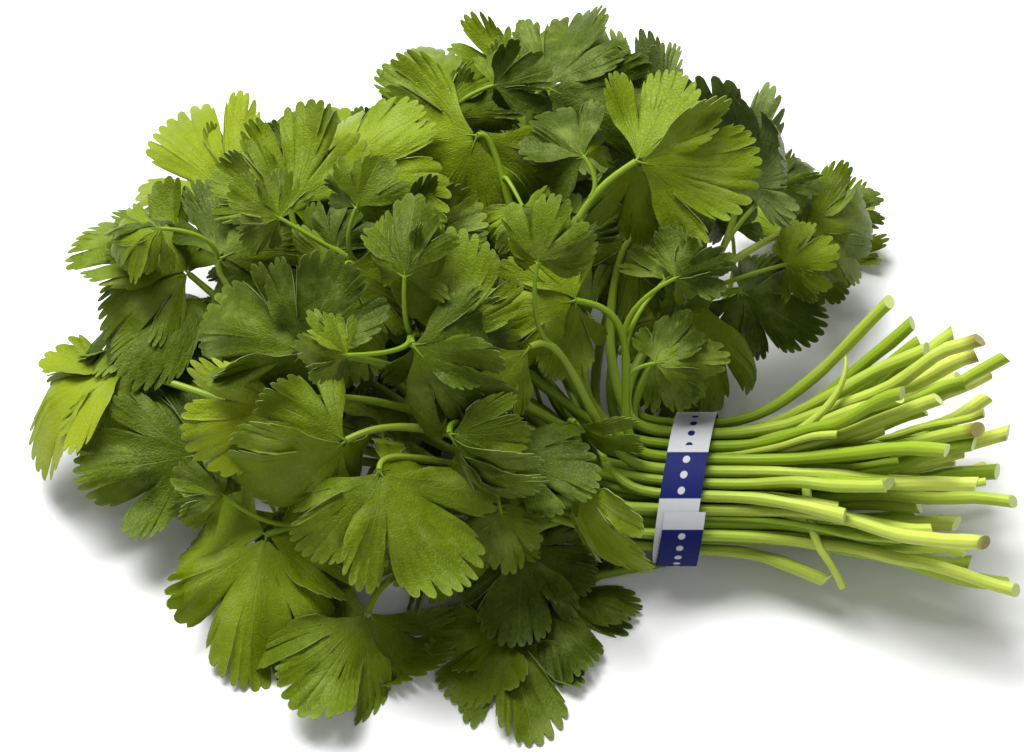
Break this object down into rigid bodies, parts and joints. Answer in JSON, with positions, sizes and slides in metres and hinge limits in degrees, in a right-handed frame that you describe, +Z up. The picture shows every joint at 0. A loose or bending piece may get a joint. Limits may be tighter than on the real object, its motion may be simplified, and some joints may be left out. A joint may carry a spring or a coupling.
{
  "type": "coriander bunch",
  "caption": "Fresh coriander bunch lying on its side, leafy stems held by a blue and white printed tie strip, with a broken sprig in front.",
  "frame": {"origin": "centre of the tie strip's flat underside, on the surface that the bunch lies on", "axes": "+X from the leaves towards the cut stem ends, +Y away from the side that the broken sprig lies on, +Z up"},
  "size_m": [0.3014, 0.2699, 0.1084],
  "materials": {
    "leafy_stem": "satin leaf",
    "tie_strip": "smooth coated strip, printed blue and white"
  },
  "bodies": {
    "root": {"leafy_stem_01": "leafy_stem", "leafy_stem_02": "leafy_stem", "leafy_stem_03": "leafy_stem", "leafy_stem_04": "leafy_stem", "leafy_stem_05": "leafy_stem", "leafy_stem_06": "leafy_stem", "leafy_stem_07": "leafy_stem", "leafy_stem_08": "leafy_stem", "leafy_stem_09": "leafy_stem", "leafy_stem_10": "leafy_stem", "leafy_stem_11": "leafy_stem", "leafy_stem_12": "leafy_stem", "leafy_stem_13": "leafy_stem", "leafy_stem_14": "leafy_stem", "leafy_stem_15": "leafy_stem", "leafy_stem_16": "leafy_stem", "leafy_stem_17": "leafy_stem", "leafy_stem_18": "leafy_stem", "leafy_stem_19": "leafy_stem", "leafy_stem_20": "leafy_stem", "leafy_stem_21": "leafy_stem", "leafy_stem_22": "leafy_stem", "leafy_stem_23": "leafy_stem", "leafy_stem_24": "leafy_stem", "leafy_stem_25": "leafy_stem", "leafy_stem_26": "leafy_stem", "leafy_stem_27": "leafy_stem", "leafy_stem_28": "leafy_stem", "leafy_stem_29": "leafy_stem", "leafy_stem_30": "leafy_stem", "leafy_stem_31": "leafy_stem", "leafy_stem_32": "leafy_stem", "leafy_stem_33": "leafy_stem", "leafy_stem_34": "leafy_stem", "leafy_stem_35": "leafy_stem", "leafy_stem_36": "leafy_stem", "leafy_stem_37": "leafy_stem", "leafy_stem_38": "leafy_stem", "leafy_stem_39": "leafy_stem", "leafy_stem_40": "leafy_stem", "leafy_stem_41": "leafy_stem", "leafy_stem_42": "leafy_stem", "leafy_stem_43": "leafy_stem", "leafy_stem_44": "leafy_stem", "leafy_stem_45": "leafy_stem", "leafy_stem_46": "leafy_stem", "broken_sprig": "leafy_stem", "tie_band": "tie_strip"}
  },
  "joints": []
}
